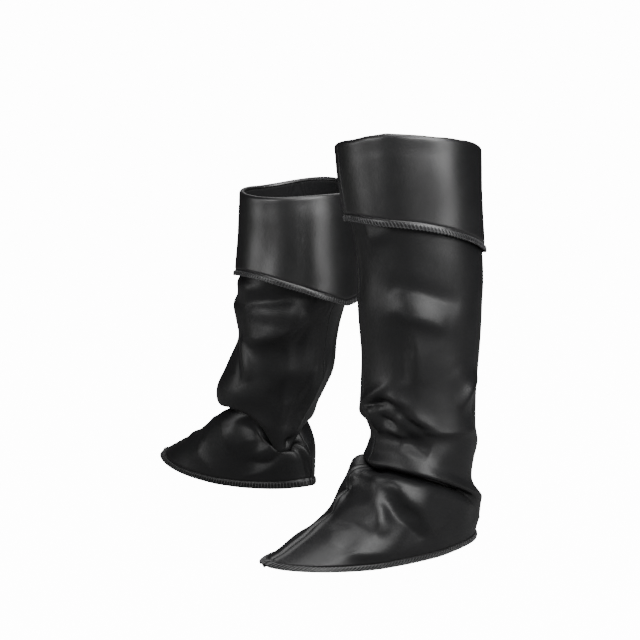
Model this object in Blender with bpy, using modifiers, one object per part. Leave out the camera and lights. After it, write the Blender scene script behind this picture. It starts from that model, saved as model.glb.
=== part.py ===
"""Pair of boot covers, worn: each is a wide leatherette tube that ends in a spat over the foot.

A cover is cut as an outer and an inner panel, joined by a front and a back seam, with a deep
turned-down cuff sewn to the top edge. It is hollow, and open at the top and under the foot. Sizes
are in millimetres and turned to metres where the meshes are made. Origin: in the middle of the
left cover's top opening. -Y is the front of the pair.
"""

import math
from collections import namedtuple

import bmesh
import bpy
from mathutils import Vector

MM = 0.001
NAME = "pair_of_boot_covers"

# Cloth and sewing
WALL = 1.3
SEAM_GAP = 0.3
SEAM_STRIP = 2.0
ROLL_RISE = 3.0

# Where the feet stand, seen from above, and how high the left rim is above the floor
RIM_HEIGHT = 400.0
LEFT_HEEL = (-28.0, 66.0)
RIGHT_HEEL = (-269.0, -91.0)
LEFT_TOE_OUT = 33.7
RIGHT_TOE_OUT = 38.7

# Mesh fineness
COLUMNS = 16
CUFF_COLUMNS = 16
ROW_STEP = 13.0
CUFF_ROW_STEP = 15.0

# A ring of cloth round the leg. Each ring has four stations, in the foot's own frame:
# x forward from the back of the heel, y outward from the foot's middle, z up from the floor.
# drop is how far the ring also slumps at its cover's Slump; a negative drop lifts it there.
Ring = namedtuple(
    "Ring",
    "name front_x front_z outer_x outer_y outer_z back_x back_z inner_x inner_y inner_z drop",
    defaults=[0],
)

LEFT_RINGS = [
    Ring("rim", 132, 392.5, 70, 49, 405.5, 8, 389.5, 70, -75, 385.5),
    Ring("under cuff", 129, 352, 69, 49, 356, 9, 348, 69, -71, 346),
    Ring("cuff hem level", 122, 318, 63, 52, 316, 5, 312, 63, -64, 312),
    Ring("upper", 119, 285, 62, 53.5, 285, 4.5, 283, 62, -61.5, 283),
    Ring("calf", 119.5, 248, 62.5, 54, 248, 5.5, 248, 62.5, -60, 248),
    Ring("middle", 116, 209, 64, 53, 209, 8.5, 209, 64, -57, 209),
    Ring("shin", 117.5, 178, 65, 51.5, 178, 11, 178, 65, -55, 178),
    Ring("low", 118, 155, 66, 52, 155, 12, 151, 66, -54, 152),
    Ring("pinch", 109, 134, 66, 51, 132, 12, 118, 66, -48, 130),
    Ring("overhang", 113, 121, 78, 54, 111, 17, 85, 72, -46, 116),
    Ring("lip", 116.5, 110.5, 84, 56, 101, 3, 67, 78, -47, 101.5),
    Ring("under lip", 113, 108, 84, 52.5, 99, 0.5, 63, 77, -44, 99.5),
    Ring("tuck in", 107, 110, 84, 46, 101, 0.5, 60.5, 76, -40, 101.5),
    Ring("tuck out", 106.5, 105.5, 84, 44, 97.5, 1.5, 58, 76, -38, 98),
    Ring("shelf", 118, 101.5, 86, 48, 94.5, 2, 55.5, 77, -42, 94.5, -11),
    Ring("crown", 131, 99, 91, 53, 89.5, 0, 51, 82, -46, 89, -12),
    Ring("ankle", 137, 90, 97, 54, 80, 3, 46, 88, -48, 79, -2),
    Ring("instep", 153, 73, 106, 53, 66, 5, 41, 96, -46, 65),
    Ring("vamp", 178, 56.5, 116, 51, 52, 5, 37, 106, -45, 52),
    Ring("toe side", 209, 42.5, 128, 50, 38, 4.5, 33, 120, -44, 39),
    Ring("hem", 237, 31, 145, 48, 25, 4, 29, 138, -44, 26),
]

RIGHT_RINGS = [
    Ring("rim", 72, 341, 16, 54, 350, -40, 337, 16, -58, 334),
    Ring("under cuff", 74, 290, 17, 55, 292, -40, 286, 17, -59, 285),
    Ring("cuff hem level", 76, 243, 20, 56, 240, -38, 231, 20, -59, 243),
    Ring("below cuff", 90, 221, 26, 58, 216, -29, 213, 26, -62, 219),
    Ring("upper", 87, 205, 30, 56, 201, -24, 199, 30, -56, 203),
    Ring("neck", 85, 185, 34, 54, 182, -20, 180, 34, -52, 184),
    Ring("billow top", 99, 152, 42, 57, 150, -16, 148, 42, -57, 150),
    Ring("billow", 112, 126, 52, 55, 125, -5, 121, 52, -60, 127),
    Ring("above lip", 112, 111, 56, 52, 111, 2, 108, 58, -58, 115, 15),
    Ring("lip", 108, 103.5, 58, 50, 102, 8, 94, 62, -55, 109.5, 35),
    Ring("under lip", 105, 101, 58, 46.5, 99, 10.5, 91, 61, -51, 107, 36),
    Ring("tuck in", 100, 102.5, 58, 41, 100.5, 14, 90.5, 60, -45, 108.5, 33),
    Ring("tuck out", 99.5, 98.5, 58, 39.5, 96.5, 14.5, 86, 60, -43, 104, 31),
    Ring("shelf", 108, 95, 60, 42.5, 91, 12.5, 81, 61, -46, 99, 27),
    Ring("crown", 119, 88.5, 63, 45, 84, 8, 74, 65, -49, 90, 15),
    Ring("ankle", 133, 80, 70, 46, 72, 2, 66, 73, -50, 74, 6),
    Ring("instep", 151, 68, 80, 46, 60, -1, 56, 84, -49, 59),
    Ring("vamp", 172, 56, 92, 46, 48, -1, 46, 96, -47, 46),
    Ring("toe side", 193, 45, 104, 46, 36, 0, 34, 108, -45, 34),
    Ring("hem", 214, 34, 124, 45, 23, 0, 22, 126, -43, 20),
]

# The cuff hangs outside the tube. Its rings run from its hem up to the level of the rim.
LEFT_CUFF = [
    Ring("cuff hem", 130, 334, 67, 58, 330, 3, 302, 67, -70, 320),
    Ring("cuff middle", 134, 366, 70, 56, 370, 4, 350, 70, -77, 352),
    Ring("cuff top", 137, 392.5, 70, 54, 405.5, 3, 389.5, 70, -80, 385.5),
]
RIGHT_CUFF = [
    Ring("cuff hem", 82, 248, 17, 64, 236, -52, 227, 17, -68, 250),
    Ring("cuff middle", 78, 294, 16, 61, 292, -49, 283, 16, -64, 293),
    Ring("cuff top", 77, 341, 16, 59, 350, -45, 337, 16, -63, 334),
]

# Where a cover's rings slump: at is counted round the leg as a fold's round is, below.
Slump = namedtuple("Slump", "at width")
LEFT_SLUMP = Slump(-0.22, 0.16)
RIGHT_SLUMP = Slump(-0.83, 0.13)

# A fold is a soft ridge, or a trough where its height is negative. It runs between two points of
# the cloth: round is 0 at the front seam, 1 at the back seam and negative on the inner panel, and
# down is the distance below the rim along the cloth.
Fold = namedtuple("Fold", "name round_1 down_1 round_2 down_2 height width")
HALF_ROUND = 175.0

LEFT_FOLDS = [
    Fold("slack below the cuff", 0.17, 131, 0.42, 160, 2.5, 18),
    Fold("shade beside it", 0.20, 152, 0.29, 195, -1.5, 11),
    Fold("back of the calf", 0.50, 205, 0.65, 240, 2.0, 13),
    Fold("pinch at the shin", 0.02, 238, 0.21, 252, -3.0, 9),
    Fold("ridge across the ankle", 0.32, 262, 0.70, 255, 2.0, 9),
    Fold("edge of the spat", 0.06, 330, 0.26, 348, 2.5, 9),
    Fold("drape of the spat", 0.08, 338, 0.27, 393, 3.0, 9),
    Fold("crease of the spat", 0.16, 358, 0.48, 377, -3.0, 10),
    Fold("inner slack below the cuff", -0.30, 140, -0.60, 165, 2.5, 18),
    Fold("inner back of the calf", -0.52, 200, -0.68, 235, 2.0, 13),
    Fold("inner ridge across the ankle", -0.35, 262, -0.70, 255, 2.0, 9),
    Fold("inner drape of the spat", -0.10, 342, -0.30, 392, 3.0, 9),
    Fold("inner crease of the spat", -0.20, 356, -0.50, 378, -2.5, 10),
]
RIGHT_FOLDS = [
    Fold("slack below the cuff", -0.42, 124, -0.76, 132, 3.0, 16),
    Fold("front turn of the billow", -0.37, 152, -0.55, 200, 2.5, 9),
    Fold("hollow beside it", -0.22, 158, -0.38, 200, -2.0, 11),
    Fold("back billow", -0.93, 185, -0.95, 228, 2.5, 9),
    Fold("hollow at the calf", -0.83, 195, -0.84, 228, -3.0, 10),
    Fold("front of the ankle", -0.44, 272, -0.54, 305, 2.5, 9),
    Fold("valley under the point", -0.62, 285, -0.72, 325, -4.0, 11),
    Fold("drape of the spat", -0.26, 305, -0.37, 338, 2.5, 9),
    Fold("outer slack below the cuff", 0.35, 125, 0.70, 135, 3.0, 16),
    Fold("outer hollow at the calf", 0.50, 190, 0.70, 228, -2.5, 12),
    Fold("outer front of the ankle", 0.30, 275, 0.45, 325, 2.5, 9),
    Fold("outer valley of the spat", 0.52, 285, 0.66, 325, -3.0, 11),
]

# Base colour and roughness of each sub-part
MATERIALS = {
    "left_shaft_outer": ((0.012, 0.012, 0.013, 1.0), 0.42),
    "left_shaft_inner": ((0.012, 0.012, 0.013, 1.0), 0.42),
    "left_cuff": ((0.014, 0.014, 0.015, 1.0), 0.40),
    "right_shaft_outer": ((0.012, 0.012, 0.013, 1.0), 0.42),
    "right_shaft_inner": ((0.012, 0.012, 0.013, 1.0), 0.42),
    "right_cuff": ((0.014, 0.014, 0.015, 1.0), 0.40),
}


def clear_scene():
    for obj in list(bpy.data.objects):
        bpy.data.objects.remove(obj)


def ring_point(ring, outward, angle):
    """A point of the ring: angle 0 is the front seam, pi the back seam; outward picks the half."""
    if outward:
        side_x, side_y, side_z = ring.outer_x, ring.outer_y, ring.outer_z
    else:
        side_x, side_y, side_z = ring.inner_x, ring.inner_y, ring.inner_z
    middle_y = (ring.outer_y + ring.inner_y) / 2
    end_x = ring.front_x if angle < math.pi / 2 else ring.back_x
    x = side_x + (end_x - side_x) * abs(math.cos(angle))
    y = middle_y + (side_y - middle_y) * math.sin(angle)
    stations = ((ring.front_x, ring.front_z), (side_x, side_z), (ring.back_x, ring.back_z))
    return Vector((x, y, parabola(stations, x)))


def parabola(stations, x):
    """The height at x of the parabola through three (x, z) stations."""
    (x1, z1), (x2, z2), (x3, z3) = stations
    return (
        z1 * (x - x2) * (x - x3) / ((x1 - x2) * (x1 - x3))
        + z2 * (x - x1) * (x - x3) / ((x2 - x1) * (x2 - x3))
        + z3 * (x - x1) * (x - x2) / ((x3 - x1) * (x3 - x2))
    )


def half_ring(ring, outward, columns, back_seam):
    """Points along half a ring, from the front seam to the back one, close together at a seam."""
    fine = [ring_point(ring, outward, math.pi * i / 120) for i in range(121)]
    reached = [0.0]
    for a, b in zip(fine, fine[1:]):
        reached.append(reached[-1] + (b - a).length)
    first, last = SEAM_STRIP, reached[-1] - (SEAM_STRIP if back_seam else 0.0)
    targets = [SEAM_GAP / 2]
    targets += [first + (last - first) * i / columns for i in range(columns + 1)]
    if back_seam:
        targets.append(reached[-1] - SEAM_GAP / 2)
    points, at = [], 0
    for target in targets:
        while at < len(fine) - 2 and reached[at + 1] < target:
            at += 1
        share = (target - reached[at]) / (reached[at + 1] - reached[at])
        points.append(fine[at].lerp(fine[at + 1], share))
    return points


def closed_ring(ring, columns, slump, back_seam=True):
    """Points round the ring: the outer half from front to back, then the inner half to the front."""
    outer = half_ring(ring, True, columns, back_seam)
    inner = half_ring(ring, False, columns, back_seam)
    row = outer + (inner[::-1] if back_seam else inner[-2::-1])
    slumped = []
    for share, point in zip(round_shares(row), row):
        away = turn_between(slump.at, share) / slump.width
        slumped.append(point - Vector((0, 0, ring.drop * math.exp(-away * away))))
    return slumped


def turn_between(share_1, share_2):
    """How far it is round the leg from one place to another, the short way."""
    return (share_2 - share_1 + 1.0) % 2.0 - 1.0


def round_shares(row):
    """Where each point of a row lies: 0 at the front seam, 1 at the back one, negative inside."""
    reached = [0.0]
    for a, b in zip(row, row[1:]):
        reached.append(reached[-1] + (b - a).length)
    shares = [2.0 * r / reached[-1] for r in reached]
    return [share if share <= 1.0 else share - 2.0 for share in shares]


def smooth_through(points, steps):
    """A smooth curve through the points, with steps[i] pieces between points i and i + 1."""
    knots = [0.0]
    for a, b in zip(points, points[1:]):
        knots.append(knots[-1] + max((b - a).length, 0.01) ** 0.5)
    spans = [(b - a) / (k2 - k1) for a, b, k1, k2 in zip(points, points[1:], knots, knots[1:])]
    slopes = [spans[0]]
    for i in range(1, len(points) - 1):
        before, after = knots[i] - knots[i - 1], knots[i + 1] - knots[i]
        slopes.append((spans[i] * before + spans[i - 1] * after) / (before + after))
    slopes.append(spans[-1])
    curve = [points[0]]
    for i, count in enumerate(steps):
        span = knots[i + 1] - knots[i]
        for step in range(1, count + 1):
            t = step / count
            curve.append(
                points[i] * (2 * t**3 - 3 * t**2 + 1)
                + slopes[i] * span * (t**3 - 2 * t**2 + t)
                + points[i + 1] * (3 * t**2 - 2 * t**3)
                + slopes[i + 1] * span * (t**3 - t**2)
            )
    return curve


def surface(loops, row_step):
    """Rows of points down the cloth, smooth through the given closed loops."""
    steps = []
    for upper, lower in zip(loops, loops[1:]):
        longest = max((b - a).length for a, b in zip(upper, lower))
        steps.append(max(1, round(longest / row_step)))
    columns = [smooth_through(list(column), steps) for column in zip(*loops)]
    return [list(row) for row in zip(*columns)]


def fold_height(folds, around, down):
    """How far the folds push the cloth out at one point."""
    height = 0.0
    for fold in folds:
        run = Vector(((fold.round_2 - fold.round_1) * HALF_ROUND, fold.down_2 - fold.down_1))
        offset = turn_between(fold.round_1, around)
        to_point = Vector((offset * HALF_ROUND, down - fold.down_1))
        share = min(max(to_point.dot(run) / run.length_squared, 0.0), 1.0)
        away = (to_point - run * share).length / fold.width
        ends = 0.35 + 0.65 * math.sin(math.pi * share)
        height += fold.height * ends * math.exp(-away * away)
    return height


def folded(rows, folds):
    """The rows with their folds pushed out, straight away from the cloth."""
    moved = []
    downs = [0.0] * len(rows[0])
    for r, row in enumerate(rows):
        above, below = rows[max(r - 1, 0)], rows[min(r + 1, len(rows) - 1)]
        if r:
            downs = [d + (p - q).length for d, p, q in zip(downs, row, above)]
        new_row = []
        for c, (share, point) in enumerate(zip(round_shares(row), row)):
            around = row[(c + 1) % len(row)] - row[c - 1]
            out = (below[c] - above[c]).cross(around).normalized()
            new_row.append(point + out * fold_height(folds, share, downs[c]))
        moved.append(new_row)
    return moved


def in_world(point, heel, toe_out, side):
    """From a foot's frame to the shared one; side is 1 for the left foot and -1 for the right."""
    turn = math.radians(toe_out)
    forward = Vector((side * math.sin(turn), -math.cos(turn), 0))
    outward = Vector((side * math.cos(turn), math.sin(turn), 0))
    up = Vector((0, 0, 1))
    base = Vector((heel[0], heel[1], -RIM_HEIGHT))
    return base + forward * point.x + outward * point.y + up * point.z


def cloth_wall(name, rows, to_world):
    """A grid of faces through the rows, made a closed wall by Solidify."""
    mesh = bpy.data.meshes.new(name)
    bm = bmesh.new()
    grid = [[bm.verts.new(to_world(point) * MM) for point in row] for row in rows]
    for upper, lower in zip(grid, grid[1:]):
        for c in range(len(upper) - 1):
            bm.faces.new((upper[c], lower[c], lower[c + 1], upper[c + 1]))
    bmesh.ops.recalc_face_normals(bm, faces=bm.faces)
    bm.to_mesh(mesh)
    bm.free()
    mesh.shade_smooth()
    mesh.materials.append(material(name))
    obj = bpy.data.objects.new(name, mesh)
    bpy.data.collections[NAME].objects.link(obj)
    wall = obj.modifiers.new("cloth", "SOLIDIFY")
    wall.thickness = WALL * MM
    wall.offset = 0.0
    return obj


def material(name):
    colour, roughness = MATERIALS[name]
    made = bpy.data.materials.new(name)
    made.use_nodes = True
    shader = made.node_tree.nodes["Principled BSDF"]
    shader.inputs["Base Color"].default_value = colour
    shader.inputs["Roughness"].default_value = roughness
    return made


def cuff_rows(rings, rim):
    """The cuff from its hem up, over the rolled top and down to the shaft's top edge."""
    loops = [closed_ring(ring, CUFF_COLUMNS, LEFT_SLUMP, back_seam=False) for ring in rings]
    rows = surface(loops, CUFF_ROW_STEP)
    outside, inside = rows[-1], closed_ring(rim, CUFF_COLUMNS, LEFT_SLUMP, back_seam=False)
    for turn in (45, 90, 135, 180):
        share = (1 - math.cos(math.radians(turn))) / 2
        rise = ROLL_RISE * math.sin(math.radians(turn)) + SEAM_GAP * share
        rows.append([a.lerp(b, share) + Vector((0, 0, rise)) for a, b in zip(outside, inside)])
    return rows


def boot_cover(label, side, heel, toe_out, rings, slump, cuff_rings, folds):
    def to_world(point):
        return in_world(point, heel, toe_out, side)

    loops = [closed_ring(ring, COLUMNS, slump) for ring in rings]
    rows = folded(surface(loops, ROW_STEP), folds)
    half = len(rows[0]) // 2
    cloth_wall(f"{label}_shaft_outer", [row[:half] for row in rows], to_world)
    cloth_wall(f"{label}_shaft_inner", [row[half:] for row in rows], to_world)
    cloth_wall(f"{label}_cuff", cuff_rows(cuff_rings, rings[0]), to_world)


def main():
    clear_scene()
    bpy.context.scene.collection.children.link(bpy.data.collections.new(NAME))
    boot_cover(
        "left", 1, LEFT_HEEL, LEFT_TOE_OUT, LEFT_RINGS, LEFT_SLUMP, LEFT_CUFF, LEFT_FOLDS
    )
    boot_cover(
        "right", -1, RIGHT_HEEL, RIGHT_TOE_OUT, RIGHT_RINGS, RIGHT_SLUMP, RIGHT_CUFF, RIGHT_FOLDS
    )


main()
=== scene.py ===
# %% [markdown]
# # A pair of slouched boot covers
#
# A boot cover is a wide tube of leatherette that looks like a tall soft boot when it is worn. Each
# one is sewn from an outer and an inner panel, with a deep cuff turned down at the top. It slumps
# at the ankle and ends in a spat over the foot.
# This lesson dresses the six plain solids of the pair: it builds each panel again as fine cloth,
# adds the folds, the seams and the stitching, and then the leatherette and the studio light.

# %% Load the solids
import math
from collections import namedtuple

import bpy
import numpy as np
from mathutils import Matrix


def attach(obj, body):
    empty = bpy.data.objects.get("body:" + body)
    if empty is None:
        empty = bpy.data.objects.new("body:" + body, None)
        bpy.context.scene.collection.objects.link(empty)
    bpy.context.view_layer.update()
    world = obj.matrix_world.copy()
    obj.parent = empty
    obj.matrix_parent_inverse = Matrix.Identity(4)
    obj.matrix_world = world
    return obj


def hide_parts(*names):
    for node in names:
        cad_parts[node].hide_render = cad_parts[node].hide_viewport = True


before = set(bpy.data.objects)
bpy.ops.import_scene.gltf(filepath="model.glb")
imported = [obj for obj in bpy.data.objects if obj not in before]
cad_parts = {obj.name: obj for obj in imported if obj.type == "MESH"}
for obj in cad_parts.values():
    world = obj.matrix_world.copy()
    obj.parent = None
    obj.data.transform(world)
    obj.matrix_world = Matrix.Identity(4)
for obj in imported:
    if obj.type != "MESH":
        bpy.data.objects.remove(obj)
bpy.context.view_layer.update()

MM = 0.001
print("nodes:", sorted(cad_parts))

# %% [markdown]
# ## The camera
#
# The picture was taken from the wearer's left, a little above the tops of the covers and with a
# long lens, so that verticals stay nearly parallel. The camera could be placed by eye, but here
# its place was solved from measured points, and the numbers are simply written down.

# %% Place the camera
lens = bpy.data.cameras.new("camera")
lens.lens, lens.sensor_width = 105.5, 36.0
camera = bpy.data.objects.new("camera", lens)
camera.location = (1.726, -0.080, 0.058)
camera.rotation_euler = (math.radians(82.72), 0.0, math.radians(90.0))
bpy.context.scene.collection.objects.link(camera)
bpy.context.scene.camera = camera
print("camera at", tuple(round(c, 3) for c in camera.location))

# %% [markdown]
# ## The shape of a leg of cloth
#
# A tube of cloth round a leg can be sculpted freely, or lofted through rings. Rings are easier to
# check against a picture, so each cover is a short table of them. A ring has a front, an outer
# side, a back and an inner side, in millimetres in the foot's own frame: x forward from the heel,
# y outward and z up from the floor. Where the cloth slouches, the rings crowd together, step
# inward under the overhanging lip and come out again over the spat.

# %% The rings of the left cover
Ring = namedtuple(
    "Ring",
    "name front_x front_z outer_x outer_y outer_z back_x back_z inner_x inner_y inner_z drop",
    defaults=[0],
)
LEFT_RINGS = [
    Ring("rim", 132, 392.5, 70, 49, 405.5, 8, 389.5, 70, -75, 385.5),
    Ring("under cuff", 129, 352, 69, 49, 356, 9, 348, 69, -71, 346),
    Ring("cuff hem level", 122, 318, 63, 52, 316, 5, 312, 63, -64, 312),
    Ring("upper", 119, 285, 62, 53.5, 285, 4.5, 283, 62, -61.5, 283),
    Ring("calf", 119.5, 248, 62.5, 54, 248, 5.5, 248, 62.5, -60, 248),
    Ring("middle", 116, 209, 64, 53, 209, 8.5, 209, 64, -57, 209),
    Ring("shin", 117.5, 178, 65, 51.5, 178, 11, 178, 65, -55, 178),
    Ring("low", 118, 155, 66, 52, 155, 12, 151, 66, -54, 152),
    Ring("pinch", 109, 134, 66, 51, 132, 12, 118, 66, -48, 130),
    Ring("overhang", 113, 121, 78, 54, 111, 17, 85, 72, -46, 116),
    Ring("lip", 116.5, 110.5, 84, 56, 101, 3, 67, 78, -47, 101.5),
    Ring("under lip", 113, 108, 84, 52.5, 99, 0.5, 63, 77, -44, 99.5),
    Ring("tuck in", 107, 110, 84, 46, 101, 0.5, 60.5, 76, -40, 101.5),
    Ring("tuck out", 106.5, 105.5, 84, 44, 97.5, 1.5, 58, 76, -38, 98),
    Ring("shelf", 118, 101.5, 86, 48, 94.5, 2, 55.5, 77, -42, 94.5, -11),
    Ring("crown", 131, 99, 91, 53, 89.5, 0, 51, 82, -46, 89, -12),
    Ring("ankle", 137, 90, 97, 54, 80, 3, 46, 88, -48, 79, -2),
    Ring("instep", 153, 73, 106, 53, 66, 5, 41, 96, -46, 65),
    Ring("vamp", 178, 56.5, 116, 51, 52, 5, 37, 106, -45, 52),
    Ring("toe side", 209, 42.5, 128, 50, 38, 4.5, 33, 120, -44, 39),
    Ring("hem", 237, 31, 145, 48, 25, 4, 29, 138, -44, 26),
]
LEFT_CUFF = [
    Ring("cuff top", 137, 392.5, 70, 54, 405.5, 3, 389.5, 70, -80, 385.5),
    Ring("cuff middle", 134, 366, 70, 56, 370, 4, 350, 70, -77, 352),
    Ring("cuff hem", 130, 334, 67, 58, 330, 3, 302, 67, -70, 320),
]
print(len(LEFT_RINGS), "rings down the left tube,", len(LEFT_CUFF), "down its cuff")

# %% [markdown]
# The right cover has slumped further down its leg. It is the same cut of cloth, but it hangs in
# other folds, so it has a table of its own.

# %% The rings of the right cover
RIGHT_RINGS = [
    Ring("rim", 72, 341, 16, 54, 350, -40, 337, 16, -58, 334),
    Ring("under cuff", 74, 290, 17, 55, 292, -40, 286, 17, -59, 285),
    Ring("cuff hem level", 76, 243, 20, 56, 240, -38, 231, 20, -59, 243),
    Ring("below cuff", 90, 221, 26, 58, 216, -29, 213, 26, -62, 219),
    Ring("upper", 87, 205, 30, 56, 201, -24, 199, 30, -56, 203),
    Ring("neck", 85, 185, 34, 54, 182, -20, 180, 34, -52, 184),
    Ring("billow top", 99, 152, 42, 57, 150, -16, 148, 42, -57, 150),
    Ring("billow", 112, 126, 52, 55, 125, -5, 121, 52, -60, 127),
    Ring("above lip", 112, 111, 56, 52, 111, 2, 108, 58, -58, 115, 15),
    Ring("lip", 108, 103.5, 58, 50, 102, 8, 94, 62, -55, 109.5, 35),
    Ring("under lip", 105, 101, 58, 46.5, 99, 10.5, 91, 61, -51, 107, 36),
    Ring("tuck in", 100, 102.5, 58, 41, 100.5, 14, 90.5, 60, -45, 108.5, 33),
    Ring("tuck out", 99.5, 98.5, 58, 39.5, 96.5, 14.5, 86, 60, -43, 104, 31),
    Ring("shelf", 108, 95, 60, 42.5, 91, 12.5, 81, 61, -46, 99, 27),
    Ring("crown", 119, 88.5, 63, 45, 84, 8, 74, 65, -49, 90, 15),
    Ring("ankle", 133, 80, 70, 46, 72, 2, 66, 73, -50, 74, 6),
    Ring("instep", 151, 68, 80, 46, 60, -1, 56, 84, -49, 59),
    Ring("vamp", 172, 56, 92, 46, 48, -1, 46, 96, -47, 46),
    Ring("toe side", 193, 45, 104, 46, 36, 0, 34, 108, -45, 34),
    Ring("hem", 214, 34, 124, 45, 23, 0, 22, 126, -43, 20),
]
RIGHT_CUFF = [
    Ring("cuff top", 77, 341, 16, 59, 350, -45, 337, 16, -63, 334),
    Ring("cuff middle", 78, 294, 16, 61, 292, -49, 283, 16, -64, 293),
    Ring("cuff hem", 82, 248, 17, 64, 236, -52, 227, 17, -68, 250),
]
print(len(RIGHT_RINGS), "rings down the right tube,", len(RIGHT_CUFF), "down its cuff")

# %% [markdown]
# ## From rings to a fine net of cloth
#
# A ring is two half ovals, one for each panel, that meet at the front and back seams. Its points
# are spread by length along the cloth, closer together beside a seam, where the cloth curls.
# Sampling with numpy keeps this quick, because a panel has up to nineteen thousand points.

# %% Walk round one ring
SEAM_GAP = 0.3
BESIDE_SEAM = np.array([0.0, 0.9, 1.8, 2.8, 4.0, 5.4, 7.0, 9.0])
BETWEEN_SEAMS = 70


def half_ring(ring, outward, back_seam):
    """Points along half a ring, from the front seam to the back one."""
    side = (ring.outer_x, ring.outer_y, ring.outer_z) if outward else (
        ring.inner_x, ring.inner_y, ring.inner_z
    )
    turn = np.linspace(0.0, math.pi, 241)
    end_x = np.where(turn < math.pi / 2, ring.front_x, ring.back_x)
    x = side[0] + (end_x - side[0]) * np.abs(np.cos(turn))
    middle_y = (ring.outer_y + ring.inner_y) / 2
    y = middle_y + (side[1] - middle_y) * np.sin(turn)
    heights = np.polyfit(
        [ring.front_x, side[0], ring.back_x], [ring.front_z, side[2], ring.back_z], 2
    )
    fine = np.stack((x, y, np.polyval(heights, x)), axis=1)
    reached = lengths_along(fine)
    first = SEAM_GAP / 2
    last = reached[-1] - (SEAM_GAP / 2 if back_seam else 0.0)
    start, end = first + BESIDE_SEAM, last - BESIDE_SEAM[::-1]
    between = np.linspace(start[-1], end[0], BETWEEN_SEAMS + 1)[1:-1]
    targets = np.concatenate((start, between, end))
    return np.stack([np.interp(targets, reached, fine[:, k]) for k in range(3)], axis=1)


def lengths_along(points):
    """How far it is along a line of points, from its first point to each."""
    steps = np.linalg.norm(np.diff(points, axis=0), axis=-1)
    return np.concatenate((np.zeros_like(steps[:1]), np.cumsum(steps, axis=0)))


print("points round a ring:", 2 * (2 * len(BESIDE_SEAM) + BETWEEN_SEAMS - 1))

# %% [markdown]
# Some rings also slump on one side. Places round the leg are counted as shares: 0 at the front
# seam, 1 at the back seam, and negative on the inner panel.

# %% Close a ring and let it slump
Slump = namedtuple("Slump", "at width")
LEFT_SLUMP = Slump(-0.22, 0.16)
RIGHT_SLUMP = Slump(-0.83, 0.13)


def shares_round(row):
    """Where each point of a ring lies round the leg, as a share."""
    reached = lengths_along(row)
    share = 2.0 * reached / reached[-1]
    return np.where(share <= 1.0, share, share - 2.0)


def turn_between(share_1, share_2):
    """How far it is round the leg from one place to another, the short way."""
    return (share_2 - share_1 + 1.0) % 2.0 - 1.0


def closed_ring(ring, slump, back_seam=True):
    """The outer half from front to back, then the inner half back to the front."""
    outer, inner = half_ring(ring, True, back_seam), half_ring(ring, False, back_seam)
    row = np.concatenate((outer, inner[::-1] if back_seam else inner[-2::-1]))
    away = turn_between(slump.at, shares_round(row)) / slump.width
    row[:, 2] -= ring.drop * np.exp(-(away**2))
    return row


print("left rim is", round(lengths_along(closed_ring(LEFT_RINGS[0], LEFT_SLUMP))[-1]), "mm round")

# %% [markdown]
# Down the leg, a smooth curve runs through the rings at each point. Rings lie close together at
# the tuck and far apart at the calf, and a curve with evenly timed knots would loop there, so the
# knots are spaced by the root of the distance.

# %% Loft the rings
ROW_STEP = 2.6


def smooth_through(loops, steps):
    """Smooth curves through the loops, with steps[i] pieces between loops i and i + 1."""
    gaps = np.maximum(np.linalg.norm(np.diff(loops, axis=0), axis=2), 0.01) ** 0.5
    knots = np.concatenate((np.zeros_like(gaps[:1]), np.cumsum(gaps, axis=0)))[:, :, None]
    spans = np.diff(loops, axis=0) / np.diff(knots, axis=0)
    before, after = np.diff(knots, axis=0)[:-1], np.diff(knots, axis=0)[1:]
    inner = (spans[1:] * before + spans[:-1] * after) / (before + after)
    slopes = np.concatenate((spans[:1], inner, spans[-1:]))
    rows = [loops[0]]
    for i, count in enumerate(steps):
        span = knots[i + 1] - knots[i]
        for step in range(1, count + 1):
            t = step / count
            rows.append(
                loops[i] * (2 * t**3 - 3 * t**2 + 1)
                + slopes[i] * span * (t**3 - 2 * t**2 + t)
                + loops[i + 1] * (3 * t**2 - 2 * t**3)
                + slopes[i + 1] * span * (t**3 - t**2)
            )
    return np.array(rows)


def loft(loops):
    """Rows of points down the cloth, about ROW_STEP apart."""
    loops = np.array(loops)
    longest = np.linalg.norm(np.diff(loops, axis=0), axis=2).max(axis=1)
    return smooth_through(loops, [max(2, round(gap / ROW_STEP)) for gap in longest])


left_loops = np.array([closed_ring(ring, LEFT_SLUMP) for ring in LEFT_RINGS])
right_loops = np.array([closed_ring(ring, RIGHT_SLUMP) for ring in RIGHT_RINGS])
print("loops and columns:", left_loops.shape[:2], right_loops.shape[:2])

# %% [markdown]
# The tuck under the lip is deep at the side of the ankle, but on the left cover it dies out behind
# the heel, where one smooth bulge is left. The loops of the tuck are eased there, onto a straight
# line between the loop above them and the one below.

# %% Ease the tuck behind the heel
def smooth_step(low, high, value):
    """0 below low, 1 above high, and a soft change between."""
    t = np.clip((value - low) / (high - low), 0.0, 1.0)
    return t * t * (3 - 2 * t)


def eased_behind(loops, rings, above, below, low, high):
    """The loops between two rings drawn straight where the share round the leg is high."""
    names = [ring.name for ring in rings]
    first, last = names.index(above), names.index(below)
    weight = smooth_step(low, high, np.abs(shares_round(loops[first])))[:, None]
    eased = loops.copy()
    for i in range(first + 1, last):
        straight = loops[first] + (loops[last] - loops[first]) * (i - first) / (last - first)
        eased[i] = loops[i] * (1 - weight) + straight * weight
    return eased


left_rows = loft(eased_behind(left_loops, LEFT_RINGS, "lip", "ankle", 0.58, 0.80))
right_rows = loft(right_loops)
print("rows and columns:", left_rows.shape[:2], right_rows.shape[:2])

# %% [markdown]
# A ring's height is a plain curve from front to back, but a worn rim is pulled up at the front and
# sags behind, and a worn hem hangs lowest at the side. So both are raised or let down a few more
# millimetres, by tables of (share round the leg, millimetres). The shaft follows its rim at first
# and forgets it further down, where the cuff hides it. The right rim needs no change.

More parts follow.
